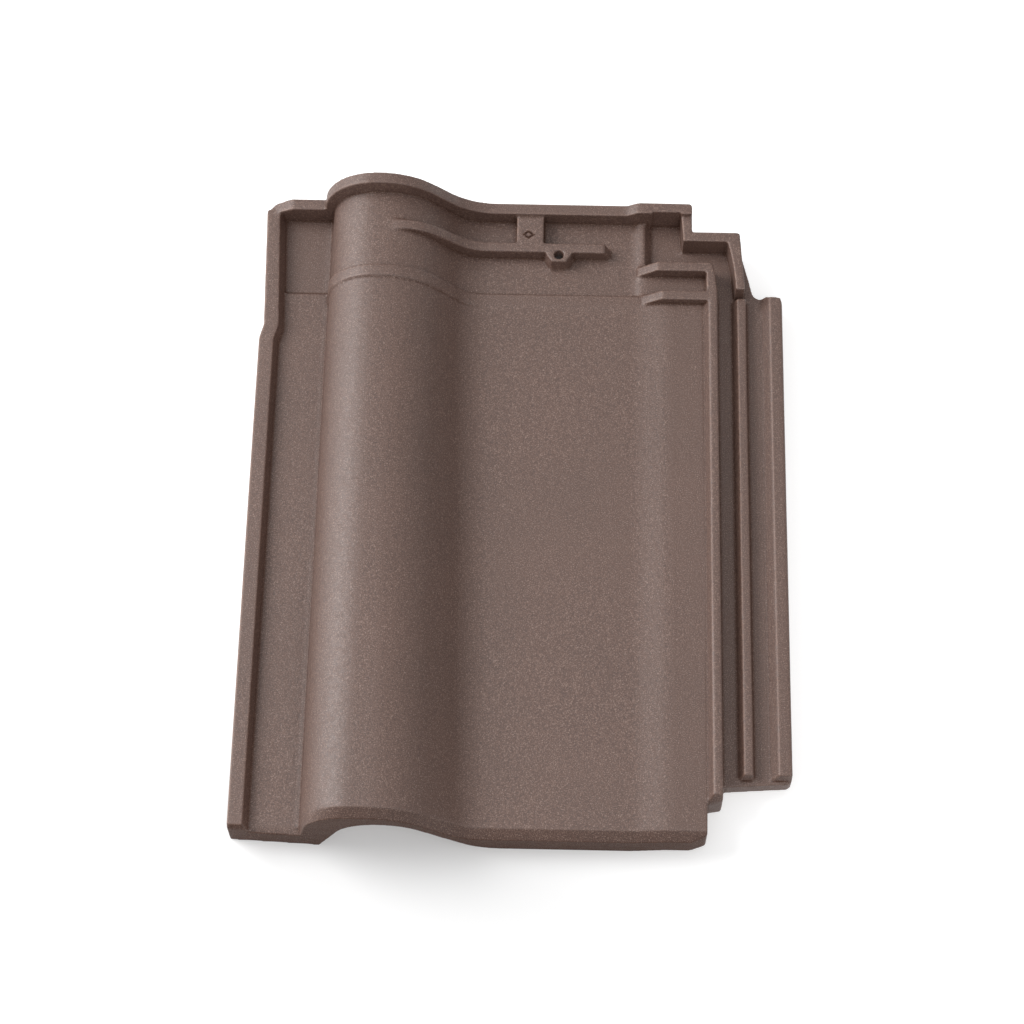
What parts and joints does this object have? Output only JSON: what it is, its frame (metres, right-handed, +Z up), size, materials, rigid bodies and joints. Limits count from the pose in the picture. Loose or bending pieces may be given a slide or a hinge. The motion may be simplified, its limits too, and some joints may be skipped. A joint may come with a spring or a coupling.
{
  "type": "verge tile",
  "caption": "Left-hand clay verge tile: flat side strip with a raised rim, tapering roll, flat pan, ribbed interlock with water channels, stepped head rims and a nail hole.",
  "frame": {"origin": "middle of the bounding box's underside, on the bed the tile lies on", "axes": "+Y from the nose to the head, +X from the verge side to the interlock side, +Z up from the bed"},
  "size_m": [0.33, 0.42, 0.0658],
  "materials": {
    "fired_clay": "matte brown engobe"
  },
  "bodies": {
    "root": {"verge_tile": "fired_clay"}
  },
  "joints": []
}
